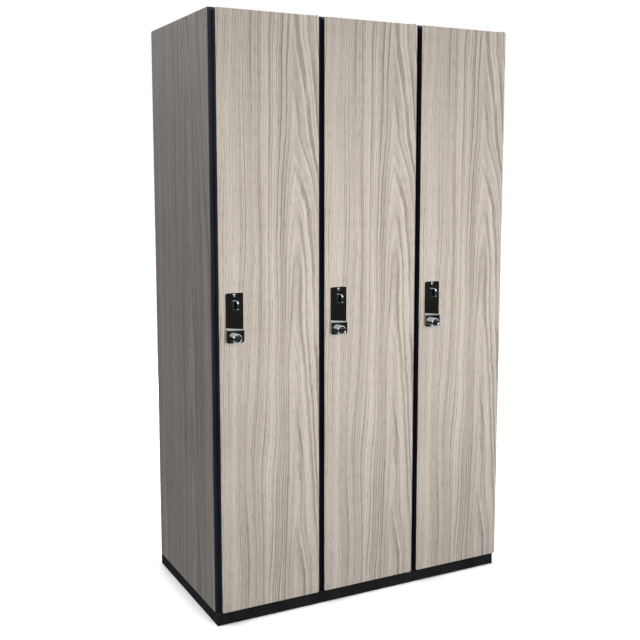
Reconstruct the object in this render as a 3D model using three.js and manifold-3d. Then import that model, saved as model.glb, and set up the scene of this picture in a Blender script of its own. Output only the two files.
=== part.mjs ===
// A bank of three coin operated lockers on a common plinth.
// Millimetres, +Z up, the doors face -Y. The origin is on the floor, under the middle of the whole bank,
// lock barrels included.
import * as THREE from 'three';
import { mergeVertices } from 'three/addons/utils/BufferGeometryUtils.js';
import Module from 'manifold-3d';

const wasm = await Module();
wasm.setup();

// ---------------------------------------------------------------- driving dimensions
const lockerCount = 3;
const lockerWidth = 300;
const lockerSeam = 0.4; // between one locker and the next
const bankDepth = 470; // from the doors' front to the back
const bankHeight = 1580; // from the floor to the lockers' top
const seat = 0.3; // between two boards that meet

const plinthHeight = 30;
const plinthFrontInset = 3;
const plinthRightInset = 10;

const sideThickness = 16;
const endThickness = 16; // top and bottom boards
const backThickness = 8;
const sideCornerRadius = 8; // upper rear corner of each side board

const doorThickness = 19;
const doorStandOff = 4; // between the door's back and the locker's front edges
const doorTopReveal = 3;
const doorBottomReveal = 3;
const doorLatchReveal = 12; // width of the left side board's edge that stays in sight
const doorHingeReveal = 4;
const doorCornerRadius = 5;

const pivotFromSide = 6; // from the door's hinge edge to the hinge axis
const pivotFromFront = 7;
const pinRadius = 3;
const pinClearance = 0.4;
const pinLength = 12;
const leafThickness = 2;
const leafWidth = 10;
const leafReach = 34; // how far the leaf runs back over the side board
const leafDoorGap = 0.5;
const leafRecessClearance = 0.3;

const shelfThickness = 16;
const shelfDrop = 300; // clear height above the hat shelf
const shelfSetback = 25;

const plateWidth = 48;
const plateHeight = 127;
const plateFromLatchEdge = 17.5;
const plateCentreHeight = 812;
const plateThickness = 2;
const plateCornerRadius = 5;
const noseHeight = 31; // thick lower end of the plate
const noseThickness = 8;
const noseRampHeight = 9;

const entryWidth = 13;
const entryHeight = 23;
const entryDropFromPlateTop = 19.5;
const entryOffset = -0.5; // from the plate's centre line to the entry's
const cheekProjection = 3;
const finProjection = 15;
const finThickness = 4.2;
const slotWidth = 3.4;
const slotMargin = 2; // metal above and below the slot
const plateHoleWidth = 9; // in the plate, under the coin entry
const plateHoleHeight = 20;
const coinWayWidth = 12; // through the door, behind the slot
const coinWayHeight = 28;

const barrelRadius = 12;
const barrelTaper = 0.6; // wider by this where it meets the plate
const barrelProjection = 15; // beyond the plate's thick end
const barrelAboveBottom = 12.5; // from the plate's lower edge to the barrel's axis
const barrelBodyRadius = 9.5; // where it runs through the door
const barrelRearLength = 13; // behind the door's back
const barrelClearance = 0.5;
const plugRadius = 6.5;
const plugClearance = 0.4;
const plugRecess = 1;
const keywayWidth = 2.4;
const keywayHeight = 9;
const keywayDepth = 16;

const camThickness = 3;
const camWidth = 14;
const camLength = 30;

const caseLeft = 20; // from the barrel's axis to the case's left side
const caseHeight = 92;
const caseBarrelGap = 7.5; // between the barrel and the case above it
const caseDepth = 26;
const caseWall = 2;
const coinExitMargin = 3;

const leverLength = 30;
const leverThickness = 4;
const leverDepth = 10;
const leverBossRadius = 5;
const leverPinRadius = 2.2;
const leverPinClearance = 0.4;
const leverPivotFromLeft = 12;
const leverPivotAboveFloor = 30;
const leverRearGap = 3;
const leverLean = 8; // degrees

const cupWidth = 36;
const cupHeight = 34;
const cupDepth = 24;
const cupWall = 2;
const cupDrop = 6; // below the case
const cupBarrelGap = 3; // between the barrel and the cup beside it

const strikeHeight = 34;
const strikeThickness = 2;
const strikeReach = 12; // how far its flange stands into the locker
const strikeLength = 34;
const strikeSetback = 6; // from the locker's front edge to the flange

const hookDrop = 130; // below the hat shelf
const hookPlateWidth = 22;
const hookPlateHeight = 60;
const hookPlateThickness = 3;
const hookWireRadius = 4;
const hookReach = 42;

const roundSides = 32;
const cornerSteps = 4;

// ---------------------------------------------------------------- worked-out places
const pitch = lockerWidth + lockerSeam;
const bankWidth = lockerCount * lockerWidth + (lockerCount - 1) * lockerSeam;
const bankLeft = -bankWidth / 2;
const lockProjection = seat + noseThickness + barrelProjection;
const backY = (bankDepth + lockProjection) / 2;
const frontY = backY - bankDepth;
const doorBackY = frontY + doorThickness;
const bodyFrontY = doorBackY + doorStandOff;
const bodyBottom = plinthHeight;
const bodyTop = bankHeight;
const innerLeft = sideThickness;
const innerRight = lockerWidth - sideThickness;
const backBoardFrontY = backY - backThickness;

const doorLeft = doorLatchReveal;
const doorRight = lockerWidth - doorHingeReveal;
const doorBottom = bodyBottom + doorBottomReveal;
const doorTop = bodyTop - doorTopReveal;
const pivotX = doorRight - pivotFromSide;
const pivotY = frontY + pivotFromFront;

const shelfTop = bodyTop - endThickness - shelfDrop;
const shelfBottom = shelfTop - shelfThickness;

const plateX = doorLeft + plateFromLatchEdge + plateWidth / 2;
const plateBottom = plateCentreHeight - plateHeight / 2;
const plateTop = plateBottom + plateHeight;
const plateBackY = frontY - seat;
const plateFrontY = plateBackY - plateThickness;
const noseFrontY = plateBackY - noseThickness;
const barrelZ = plateBottom + barrelAboveBottom;
const barrelFrontY = noseFrontY - barrelProjection;
const barrelRearY = doorBackY + barrelRearLength;

const entryX = plateX + entryOffset;
const entryTop = plateTop - entryDropFromPlateTop;
const entryBottom = entryTop - entryHeight;
const entryZ = (entryTop + entryBottom) / 2;
const entryBackY = plateFrontY - seat;
const slotX = entryX - entryWidth / 2 + cheekWidth() + slotWidth / 2;

const cupLeftX = plateX + Math.max(barrelBodyRadius, camWidth / 2) + cupBarrelGap;
const cupRightX = cupLeftX + cupWidth;
const caseLeftX = plateX - caseLeft;
const caseRightX = cupRightX;
const caseBottom = barrelZ + barrelBodyRadius + caseBarrelGap;
const caseTop = caseBottom + caseHeight;
const caseFrontY = doorBackY + seat;
const caseBackY = caseFrontY + caseDepth;
const cupTop = caseBottom - cupDrop;
const leverX = caseLeftX + leverPivotFromLeft;
const leverZ = caseBottom + leverPivotAboveFloor;
const leverFrontY = caseBackY - caseWall - leverRearGap - leverDepth;
const exitLeftX = cupLeftX + cupWall + coinExitMargin;
const exitRightX = cupRightX - Math.max(cupWall, caseWall) - coinExitMargin;

const camY = barrelRearY + seat;

function cheekWidth() {
  return entryWidth - slotWidth - finThickness;
}

// ---------------------------------------------------------------- materials
function finish(name, colour, roughness, metalness) {
  return new THREE.MeshStandardMaterial({ name, color: colour, roughness, metalness });
}
const laminate = finish('laminate', 0xcabfb0, 0.55, 0);
const blackBoard = finish('black_board', 0x1b1b1d, 0.6, 0);
const whiteBoard = finish('white_board', 0xd8d4cc, 0.6, 0);
const polishedSteel = finish('polished_steel', 0x8d8a84, 0.18, 1);
const chrome = finish('chrome', 0xd9dde0, 0.08, 1);
const zincSteel = finish('zinc_steel', 0xa7a9ab, 0.4, 1);
const brass = finish('brass', 0xb08a45, 0.3, 1);
const blackPlastic = finish('black_plastic', 0x202124, 0.5, 0);

// ---------------------------------------------------------------- shape helpers
function box(x0, x1, y0, y1, z0, z1) {
  const geometry = new THREE.BoxGeometry(x1 - x0, y1 - y0, z1 - z0);
  return geometry.translate((x0 + x1) / 2, (y0 + y1) / 2, (z0 + z1) / 2);
}

// A round bar along Y.
function barY(x, z, radius, y0, y1, sides = roundSides) {
  return new THREE.CylinderGeometry(radius, radius, y1 - y0, sides).translate(x, (y0 + y1) / 2, z);
}

// A round bar along Z.
function barZ(x, y, radius, z0, z1, sides = roundSides) {
  return new THREE.CylinderGeometry(radius, radius, z1 - z0, sides)
    .rotateX(Math.PI / 2)
    .translate(x, y, (z0 + z1) / 2);
}

// An outline with one radius per corner: lower left, lower right, upper right, upper left.
function roundedOutline(a0, a1, b0, b1, radii) {
  const [ll, lr, ur, ul] = radii;
  const shape = new THREE.Shape();
  shape.moveTo(a0 + ll, b0);
  shape.lineTo(a1 - lr, b0);
  if (lr > 0) shape.absarc(a1 - lr, b0 + lr, lr, -Math.PI / 2, 0);
  shape.lineTo(a1, b1 - ur);
  if (ur > 0) shape.absarc(a1 - ur, b1 - ur, ur, 0, Math.PI / 2);
  shape.lineTo(a0 + ul, b1);
  if (ul > 0) shape.absarc(a0 + ul, b1 - ul, ul, Math.PI / 2, Math.PI);
  shape.lineTo(a0, b0 + ll);
  if (ll > 0) shape.absarc(a0 + ll, b0 + ll, ll, Math.PI, Math.PI * 1.5);
  return shape;
}

function extrude(shape, length) {
  return new THREE.ExtrudeGeometry(shape, { depth: length, bevelEnabled: false, curveSegments: cornerSteps });
}

// An outline drawn in X and Z, swept from y0 to y1.
function plateXZ(shape, y0, y1) {
  return extrude(shape, y1 - y0).rotateX(Math.PI / 2).translate(0, y1, 0);
}

// An outline drawn in Y and Z, swept from x0 to x1.
function plateYZ(shape, x0, x1) {
  const turn = new THREE.Matrix4().makeBasis(
    new THREE.Vector3(0, 1, 0),
    new THREE.Vector3(0, 0, 1),
    new THREE.Vector3(1, 0, 0),
  );
  return extrude(shape, x1 - x0).applyMatrix4(turn).translate(x0, 0, 0);
}

// An outline drawn in X and Y, swept from z0 to z1.
function plateXY(shape, z0, z1) {
  return extrude(shape, z1 - z0).translate(0, 0, z0);
}

function solid(geometry) {
  const bare = geometry.clone();
  bare.deleteAttribute('normal');
  bare.deleteAttribute('uv');
  const merged = mergeVertices(bare, 1e-4);
  return new wasm.Manifold(
    new wasm.Mesh({
      numProp: 3,
      vertProperties: new Float32Array(merged.attributes.position.array),
      triVerts: new Uint32Array(merged.index.array),
    }),
  );
}

function cut(geometry, ...tools) {
  return asGeometry(tools.reduce((body, tool) => body.subtract(solid(tool)), solid(geometry)));
}

function join(geometry, ...others) {
  return asGeometry(others.reduce((body, other) => body.add(solid(other)), solid(geometry)));
}

function common(a, b) {
  return asGeometry(solid(a).intersect(solid(b)));
}

function asGeometry(body) {
  const mesh = body.getMesh();
  const geometry = new THREE.BufferGeometry();
  geometry.setAttribute('position', new THREE.BufferAttribute(new Float32Array(mesh.vertProperties), 3));
  geometry.setIndex(new THREE.BufferAttribute(new Uint32Array(mesh.triVerts), 1));
  geometry.computeVertexNormals();
  return geometry;
}

// ---------------------------------------------------------------- carcass
// The recess in the end of a side board that a pivot leaf lies in.
function leafRecess(z0, z1) {
  const half = leafWidth / 2 + leafRecessClearance;
  const rear = bodyFrontY + leafReach + leafRecessClearance;
  return box(pivotX - half, pivotX + half, bodyFrontY - 1, rear, z0, z1);
}

function sideBoard(x0, x1, tools) {
  const outline = roundedOutline(bodyFrontY, backY, bodyBottom, bodyTop, [0, 0, sideCornerRadius, 0]);
  const board = plateYZ(outline, x0, x1);
  return tools.length ? cut(board, ...tools) : board;
}

function leftSide() {
  return sideBoard(0, sideThickness, []);
}

function rightSide() {
  const upper = leafRecess(doorTop + leafDoorGap - leafRecessClearance, bodyTop + 1);
  const lower = leafRecess(bodyBottom - 1, doorBottom - leafDoorGap + leafRecessClearance);
  return sideBoard(lockerWidth - sideThickness, lockerWidth, [upper, lower]);
}

function topBoard() {
  return box(
    innerLeft + seat,
    innerRight - seat,
    bodyFrontY,
    backBoardFrontY - seat,
    bodyTop - endThickness,
    bodyTop,
  );
}

function bottomBoard() {
  const rear = backBoardFrontY - seat;
  return box(innerLeft + seat, innerRight - seat, bodyFrontY, rear, bodyBottom, bodyBottom + endThickness);
}

function backBoard() {
  const top = bodyTop - sideCornerRadius;
  return box(innerLeft + seat, innerRight - seat, backBoardFrontY, backY, bodyBottom, top);
}

function hatShelf() {
  const rear = backBoardFrontY - seat;
  return box(innerLeft + seat, innerRight - seat, bodyFrontY + shelfSetback, rear, shelfBottom, shelfTop);
}

function coatHook() {
  const x = lockerWidth / 2;
  const faceY = backBoardFrontY - seat;
  const plateLow = shelfBottom - hookDrop - hookPlateHeight;
  const half = hookPlateWidth / 2;
  const outline = roundedOutline(x - half, x + half, plateLow, plateLow + hookPlateHeight, [6, 6, 6, 6]);
  const plate = plateXZ(outline, faceY - hookPlateThickness, faceY);
  const startZ = plateLow + hookPlateHeight * 0.35;
  const path = new THREE.CatmullRomCurve3([
    new THREE.Vector3(x, faceY - hookPlateThickness / 2, startZ),
    new THREE.Vector3(x, faceY - hookPlateThickness * 3, startZ),
    new THREE.Vector3(x, faceY - hookReach * 0.55, startZ - 9),
    new THREE.Vector3(x, faceY - hookReach * 0.9, startZ - 4),
    new THREE.Vector3(x, faceY - hookReach, startZ + 16),
  ]);
  const ring = new THREE.Shape().absarc(0, 0, hookWireRadius, 0, Math.PI * 2);
  const prong = new THREE.ExtrudeGeometry(ring, { steps: 12, extrudePath: path, curveSegments: 6 });
  return join(plate, prong);
}

function plinth() {
  const right = -bankLeft - plinthRightInset;
  return box(bankLeft, right, frontY + plinthFrontInset, backY, 0, plinthHeight - seat);
}

// ---------------------------------------------------------------- door and hinges
function doorLeaf() {
  const r = doorCornerRadius;
  const outline = roundedOutline(doorLeft, doorRight, doorBottom, doorTop, [r, r, r, r]);
  const leaf = plateXZ(outline, frontY, doorBackY);
  const bore = pinRadius + pinClearance;
  const boreDepth = pinLength + pinClearance;
  return cut(
    leaf,
    barZ(pivotX, pivotY, bore, doorTop - boreDepth, doorTop + 1, 20),
    barZ(pivotX, pivotY, bore, doorBottom - 1, doorBottom + boreDepth, 20),
    barY(plateX, barrelZ, barrelBodyRadius + barrelClearance, frontY - 1, doorBackY + 1),
    box(
      slotX - coinWayWidth / 2,
      slotX + coinWayWidth / 2,
      frontY - 1,
      doorBackY + 1,
      entryZ - coinWayHeight / 2,
      entryZ + coinWayHeight / 2,
    ),
  );
}

// The leaf lies along the end of the side board and reaches over the door's edge, where it carries the pin.
function pivotHinge(z0, z1, pinLow, pinHigh) {
  const half = leafWidth / 2;
  const r = half - 0.1;
  const leafRear = bodyFrontY + leafReach;
  const outline = roundedOutline(pivotX - half, pivotX + half, pivotY - half, leafRear, [r, r, 0, 0]);
  return join(plateXY(outline, z0, z1), barZ(pivotX, pivotY, pinRadius, pinLow, pinHigh, 20));
}

function topPivot() {
  const low = doorTop + leafDoorGap;
  return pivotHinge(low, low + leafThickness, doorTop - pinLength, low + leafThickness / 2);
}

function bottomPivot() {
  const high = doorBottom - leafDoorGap;
  return pivotHinge(high - leafThickness, high, high - leafThickness / 2, doorBottom + pinLength);
}

// ---------------------------------------------------------------- lock, outside
function lockPlate() {
  const noseTop = plateBottom + noseHeight;
  const rampTop = noseTop + noseRampHeight;
  const profile = new THREE.Shape();
  profile.moveTo(plateBackY, plateBottom);
  profile.lineTo(plateBackY, plateTop);
  profile.lineTo(plateFrontY, plateTop);
  profile.lineTo(plateFrontY, rampTop);
  profile.quadraticCurveTo(plateFrontY, noseTop + 1, noseFrontY, noseTop);
  profile.lineTo(noseFrontY, plateBottom);
  const r = plateCornerRadius;
  const half = plateWidth / 2;
  const face = roundedOutline(plateX - half, plateX + half, plateBottom, plateTop, [r, r, r, r]);
  const body = common(
    plateYZ(profile, plateX - half - 1, plateX + half + 1),
    plateXZ(face, noseFrontY - 1, plateBackY + 1),
  );
  return cut(
    body,
    barY(plateX, barrelZ, barrelBodyRadius + barrelClearance, noseFrontY - 1, plateBackY + 1),
    box(
      slotX - plateHoleWidth / 2,
      slotX + plateHoleWidth / 2,
      plateFrontY - 1,
      plateBackY + 1,
      entryZ - plateHoleHeight / 2,
      entryZ + plateHoleHeight / 2,
    ),
  );
}

// A low cheek on the left, the slot, and a tall fin on the right that the coin is slid along.
function coinEntry() {
  const left = entryX - entryWidth / 2;
  const right = entryX + entryWidth / 2;
  const finLeft = right - finThickness;
  const foot = box(left, right, entryBackY - cheekProjection, entryBackY, entryBottom, entryTop);
  const fin = new THREE.Shape();
  const nose = entryBackY - finProjection;
  fin.moveTo(entryBackY, entryBottom);
  fin.lineTo(entryBackY, entryTop);
  fin.quadraticCurveTo(nose + 2, entryTop - 1, nose, entryTop - 7);
  fin.lineTo(nose, entryBottom + 4);
  fin.quadraticCurveTo(nose + 1, entryBottom, nose + 5, entryBottom);
  const body = join(foot, plateYZ(fin, finLeft, right));
  return cut(
    body,
    box(
      slotX - slotWidth / 2,
      slotX + slotWidth / 2,
      nose - 1,
      entryBackY + 1,
      entryBottom + slotMargin,
      entryTop - slotMargin,
    ),
  );
}

function lockBarrel() {
  const length = barrelProjection - seat;
  const head = new THREE.CylinderGeometry(barrelRadius, barrelRadius + barrelTaper, length, roundSides)
    .rotateX(Math.PI)
    .translate(plateX, (barrelFrontY + noseFrontY - seat) / 2, barrelZ);
  const bodyBar = barY(plateX, barrelZ, barrelBodyRadius, noseFrontY - 1, barrelRearY);
  const bore = barY(plateX, barrelZ, plugRadius + plugClearance, barrelFrontY - 1, barrelRearY + 1);
  return cut(join(head, bodyBar), bore);
}

function keyPlug() {
  const front = barrelFrontY + plugRecess;
  const core = barY(plateX, barrelZ, plugRadius, front, barrelRearY - seat);
  const halfWidth = keywayWidth / 2;
  const low = barrelZ - keywayHeight / 2;
  const keyway = box(
    plateX - halfWidth,
    plateX + halfWidth,
    front - 1,
    front + keywayDepth,
    low,
    low + keywayHeight,
  );
  return cut(core, keyway);
}

// ---------------------------------------------------------------- lock, inside
function lockCam() {
  const half = camWidth / 2;
  const r = half - 0.1;
  const low = barrelZ - camLength;
  const outline = roundedOutline(plateX - half, plateX + half, low, barrelZ + half, [4, 4, r, r]);
  return plateXZ(outline, camY, camY + camThickness);
}

function lockCase() {
  const innerBack = caseBackY - caseWall;
  const floorTop = caseBottom + caseWall;
  const shell = cut(
    box(caseLeftX, caseRightX, caseFrontY, caseBackY, caseBottom, caseTop),
    box(caseLeftX + caseWall, caseRightX - caseWall, caseFrontY - 1, innerBack, floorTop, caseTop - caseWall),
    box(
      exitLeftX,
      exitRightX,
      caseFrontY + coinExitMargin,
      innerBack - coinExitMargin,
      caseBottom - 1,
      floorTop + 1,
    ),
  );
  const pin = barY(leverX, leverZ, leverPinRadius, caseFrontY + 1, caseBackY - caseWall / 2, 16);
  return join(shell, pin);
}

// It leans a little towards the coin exit and tips clockwise, seen from the front, under a coin.
function coinLever() {
  const rear = leverFrontY + leverDepth;
  const arm = box(0, leverLength, leverFrontY, rear, -leverThickness / 2, leverThickness / 2);
  arm.rotateY(THREE.MathUtils.degToRad(leverLean)).translate(leverX, 0, leverZ);
  const boss = barY(leverX, leverZ, leverBossRadius, leverFrontY, rear, 20);
  const bore = barY(leverX, leverZ, leverPinRadius + leverPinClearance, leverFrontY - 1, rear + 1, 16);
  return cut(join(arm, boss), bore);
}

function coinCup() {
  const low = cupTop - cupHeight;
  const front = doorBackY + seat;
  const rear = front + cupDepth;
  return cut(
    box(cupLeftX, cupRightX, front, rear, low, cupTop),
    box(cupLeftX + cupWall, cupRightX - cupWall, front + cupWall, rear - cupWall, low + cupWall, cupTop + 1),
  );
}

function strike() {
  const left = innerLeft + seat;
  const front = bodyFrontY + strikeSetback;
  const low = barrelZ - strikeHeight / 2;
  const high = barrelZ + strikeHeight / 2;
  const foot = box(left, left + strikeThickness, front, front + strikeLength, low, high);
  return join(foot, box(left, left + strikeReach, front, front + strikeThickness, low, high));
}

// ---------------------------------------------------------------- assembly
const locker = [
  ['side_left', leftSide, laminate],
  ['side_right', rightSide, laminate],
  ['top', topBoard, laminate],
  ['bottom', bottomBoard, laminate],
  ['back', backBoard, whiteBoard],
  ['hat_shelf', hatShelf, laminate],
  ['coat_hook', coatHook, zincSteel],
  ['pivot_top', topPivot, zincSteel],
  ['pivot_bottom', bottomPivot, zincSteel],
  ['strike', strike, zincSteel],
  ['door', doorLeaf, laminate],
  ['lock_plate', lockPlate, polishedSteel],
  ['coin_entry', coinEntry, chrome],
  ['lock_barrel', lockBarrel, chrome],
  ['key_plug', keyPlug, brass],
  ['lock_cam', lockCam, zincSteel],
  ['lock_case', lockCase, blackPlastic],
  ['coin_lever', coinLever, brass],
  ['coin_cup', coinCup, blackPlastic],
];

const bank = new THREE.Group();

function addPiece(group, name, geometry, material) {
  const mesh = new THREE.Mesh(geometry, material);
  mesh.name = name;
  group.add(mesh);
}

addPiece(bank, 'plinth', plinth(), blackBoard);
for (let i = 0; i < lockerCount; i += 1) {
  const group = new THREE.Group();
  group.position.x = bankLeft + i * pitch;
  for (const [name, build, material] of locker) {
    addPiece(group, `${name}_${i + 1}`, build(), material);
  }
  bank.add(group);
}

export default bank;
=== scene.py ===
import math

import bmesh
import bpy
from mathutils import Matrix, Vector


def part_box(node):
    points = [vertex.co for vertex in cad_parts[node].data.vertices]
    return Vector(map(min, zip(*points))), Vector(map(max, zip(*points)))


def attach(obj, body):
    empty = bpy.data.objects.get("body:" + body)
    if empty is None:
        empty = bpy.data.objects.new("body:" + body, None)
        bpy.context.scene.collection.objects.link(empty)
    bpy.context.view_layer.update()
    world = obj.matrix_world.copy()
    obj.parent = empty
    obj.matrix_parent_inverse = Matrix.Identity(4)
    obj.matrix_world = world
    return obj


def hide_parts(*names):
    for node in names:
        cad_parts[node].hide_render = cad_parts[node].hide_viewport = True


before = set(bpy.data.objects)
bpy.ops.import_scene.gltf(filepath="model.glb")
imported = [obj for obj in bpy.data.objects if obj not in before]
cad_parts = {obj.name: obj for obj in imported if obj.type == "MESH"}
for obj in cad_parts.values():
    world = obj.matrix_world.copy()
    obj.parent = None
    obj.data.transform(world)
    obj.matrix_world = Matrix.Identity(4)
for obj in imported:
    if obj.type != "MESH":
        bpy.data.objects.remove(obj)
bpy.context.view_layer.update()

# ---------------------------------------------------------------- sizes, in metres
MM = 0.001
LOCKERS = (1, 2, 3)
door_low, door_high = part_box("door_1")
side_low, side_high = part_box("side_left_1")
barrel_low, barrel_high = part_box("lock_barrel_1")
entry_low, entry_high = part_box("coin_entry_1")
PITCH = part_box("door_2")[0].x - door_low.x
BANK_LEFT = side_low.x
BANK_BACK = side_high.y
BARREL_X = (barrel_low.x + barrel_high.x) / 2
BARREL_Z = (barrel_low.z + barrel_high.z) / 2
BARREL_BORE = 10 * MM
COIN_SLOT_X = entry_low.x + 7.1 * MM
BOARD_ROUND = 0.5 * MM
# how far a cutting tool reaches past the face that it enters
OVERSHOOT = 10 * MM

ALONG_X = Vector((1, 0, 0))
ALONG_Y = Vector((0, 1, 0))
ALONG_Z = Vector((0, 0, 1))


# ---------------------------------------------------------------- workbench
def nothing_selected():
    if bpy.context.object and bpy.context.object.mode == "EDIT":
        bpy.ops.object.mode_set(mode="OBJECT")
    bpy.ops.object.select_all(action="DESELECT")


def take(piece):
    nothing_selected()
    piece.select_set(True)
    bpy.context.view_layer.objects.active = piece


def settle(name):
    """The new piece keeps its place in its mesh and its object at the origin."""
    piece = bpy.context.object
    bpy.ops.object.transform_apply(location=True, rotation=True, scale=True)
    piece.name = name
    piece.data.name = name
    return piece


def block(name, low, high):
    nothing_selected()
    low = Vector(low)
    high = Vector(high)
    bpy.ops.mesh.primitive_cube_add(size=1, location=(low + high) / 2, scale=high - low)
    return settle(name)


def rod(name, start, end, radius, sides=32, end_radius=None):
    """A round bar, or a tapered one, from start to end."""
    nothing_selected()
    start = Vector(start)
    end = Vector(end)
    run = end - start
    turn = run.to_track_quat("Z", "Y").to_euler()
    bpy.ops.mesh.primitive_cone_add(
        vertices=sides,
        radius1=radius,
        radius2=radius if end_radius is None else end_radius,
        depth=run.length,
        location=(start + end) / 2,
        rotation=turn,
    )
    return settle(name)


def open_mesh(piece, kind):
    take(piece)
    bpy.ops.object.mode_set(mode="EDIT")
    bpy.ops.mesh.select_mode(type=kind)
    bpy.ops.mesh.select_all(action="DESELECT")
    return bmesh.from_edit_mesh(piece.data)


def close_mesh(piece):
    bmesh.update_edit_mesh(piece.data)
    bpy.ops.object.mode_set(mode="OBJECT")


def pick_faces(piece, rule):
    """Opens the piece and selects the faces whose middle and normal answer the rule."""
    mesh = open_mesh(piece, "FACE")
    mesh.normal_update()
    for face in mesh.faces:
        face.select_set(bool(rule(face.calc_center_median(), face.normal)))
    mesh.select_flush_mode()
    bmesh.update_edit_mesh(piece.data)


def pick_edges(piece, rule):
    """Opens the piece and selects the edges whose middle and direction answer the rule."""
    mesh = open_mesh(piece, "EDGE")
    for edge in mesh.edges:
        middle = (edge.verts[0].co + edge.verts[1].co) / 2
        way = (edge.verts[1].co - edge.verts[0].co).normalized()
        edge.select_set(bool(rule(middle, way)))
    mesh.select_flush_mode()
    bmesh.update_edit_mesh(piece.data)


def along(way, axis):
    return abs(way.dot(axis)) > 0.99


def near(value, target, slack=0.02 * MM):
    return abs(value - target) < slack


def round_picked(piece, width, steps):
    bpy.ops.mesh.bevel(offset=width, segments=steps, affect="EDGES", clamp_overlap=True)
    close_mesh(piece)


def ease_all(piece, width=BOARD_ROUND, steps=2, sharper_than=40):
    """Breaks every sharp edge of the piece."""
    open_mesh(piece, "EDGE")
    bpy.ops.mesh.edges_select_sharp(sharpness=math.radians(sharper_than))
    round_picked(piece, width, steps)


def push_picked(move):
    bpy.ops.mesh.extrude_region_move(TRANSFORM_OT_translate={"value": move})


def slice_at(piece, place, normal):
    open_mesh(piece, "FACE")
    bpy.ops.mesh.select_all(action="SELECT")
    bpy.ops.mesh.bisect(plane_co=place, plane_no=normal)
    close_mesh(piece)


def carve(piece, *tools):
    """Takes the tools' shapes out of the piece."""
    for tool in tools:
        take(piece)
        saw = piece.modifiers.new("carve", "BOOLEAN")
        saw.operation = "DIFFERENCE"
        saw.solver = "EXACT"
        saw.object = tool
        bpy.ops.object.modifier_apply(modifier=saw.name)
        scrap = tool.data
        bpy.data.objects.remove(tool)
        bpy.data.meshes.remove(scrap)
    return piece


def tidy_mesh(piece):
    open_mesh(piece, "VERT")
    bpy.ops.mesh.select_all(action="SELECT")
    bpy.ops.mesh.remove_doubles(threshold=0.002 * MM)
    bpy.ops.mesh.normals_make_consistent(inside=False)
    close_mesh(piece)


def joined(name, *parts):
    take(parts[0])
    for part in parts:
        part.select_set(True)
    bpy.ops.object.join()
    parts[0].name = name
    parts[0].data.name = name
    return parts[0]


def soften(piece, angle=32):
    """Rounded edges shade smoothly, and the large flat faces beside them stay flat."""
    take(piece)
    bpy.ops.object.shade_smooth_by_angle(angle=math.radians(angle))
    evened = piece.modifiers.new("even shading", "WEIGHTED_NORMAL")
    evened.keep_sharp = True
    bpy.ops.object.modifier_apply(modifier=evened.name)


def copy_to(piece, name, move):
    twin = piece.copy()
    twin.data = piece.data.copy()
    twin.name = name
    twin.data.name = name
    bpy.context.scene.collection.objects.link(twin)
    twin.data.transform(Matrix.Translation(move))
    return twin


def finish_faces(piece, *finishes):
    """Each finish is (material, rule); the first one covers what no rule claims."""
    piece.data.materials.clear()
    for material, _ in finishes:
        piece.data.materials.append(material)
    for face in piece.data.polygons:
        face.material_index = 0
        for number, (_, rule) in enumerate(finishes):
            if rule and rule(face.center, face.normal):
                face.material_index = number


def row_of(name, first, seats):
    """The first piece stands on the first seat, and its copies on the others."""
    made = [first]
    for number, seat in enumerate(seats[1:]):
        made.append(copy_to(first, f"{name} {number}", Vector(seat) - Vector(seats[0])))
    return joined(name, *made) if len(made) > 1 else first


def hand_out(piece, cad_name, body):
    """The first locker's piece, and its copies on the others, in place of their CAD nodes."""
    base = piece.name
    for number in LOCKERS:
        twin = piece
        if number > 1:
            twin = copy_to(piece, f"{base}_{number}", (PITCH * (number - 1), 0, 0))
        if cad_name:
            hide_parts(f"{cad_name}_{number}")
        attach(twin, body.format(number))
    piece.name = f"{base}_1"


def fit(piece, finish, cad_name, body, angle=32):
    """The piece gets one finish all over, and goes to its place in every locker."""
    finish_faces(piece, (finish, None))
    soften(piece, angle)
    hand_out(piece, cad_name, body)


# ---------------------------------------------------------------- shader workbench
def new_group(name, inputs, outputs):
    group = bpy.data.node_groups.new(name, "ShaderNodeTree")
    for label, kind, value in inputs:
        socket = group.interface.new_socket(label, in_out="INPUT", socket_type=kind)
        socket.default_value = value
    for label, kind in outputs:
        group.interface.new_socket(label, in_out="OUTPUT", socket_type=kind)
    source = group.nodes.new("NodeGroupInput")
    sink = group.nodes.new("NodeGroupOutput")
    return group, source.outputs, sink.inputs


def node(tree, kind, **settings):
    made = tree.nodes.new(kind)
    for key, value in settings.items():
        setattr(made, key, value)
    return made


def plug(tree, source, target):
    tree.links.new(source, target)


def calc(tree, operation, *values, clamp=False):
    made = node(tree, "ShaderNodeMath", operation=operation, use_clamp=clamp)
    for number, value in enumerate(values):
        if isinstance(value, (int, float)):
            made.inputs[number].default_value = value
        else:
            plug(tree, value, made.inputs[number])
    return made.outputs[0]


def blend_colours(tree, amount, first, second):
    made = node(tree, "ShaderNodeMix", data_type="RGBA")
    for socket, value in ((made.inputs[0], amount), (made.inputs[6], first), (made.inputs[7], second)):
        if isinstance(value, (int, float, tuple)):
            socket.default_value = value
        else:
            plug(tree, value, socket)
    return made.outputs[2]


def spread(tree, value, low, high, to_low=0.0, to_high=1.0):
    """Eases the value from to_low at low to to_high at high."""
    made = node(tree, "ShaderNodeMapRange", interpolation_type="SMOOTHSTEP")
    plug(tree, value, made.inputs["Value"])
    made.inputs["From Min"].default_value = low
    made.inputs["From Max"].default_value = high
    made.inputs["To Min"].default_value = to_low
    made.inputs["To Max"].default_value = to_high
    return made.outputs["Result"]


def cloud(tree, place, scale, detail=2.0, rough=0.5):
    made = node(tree, "ShaderNodeTexNoise", noise_dimensions="3D")
    plug(tree, place, made.inputs["Vector"])
    made.inputs["Scale"].default_value = scale
    made.inputs["Detail"].default_value = detail
    made.inputs["Roughness"].default_value = rough
    return made.outputs["Fac"]


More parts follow.
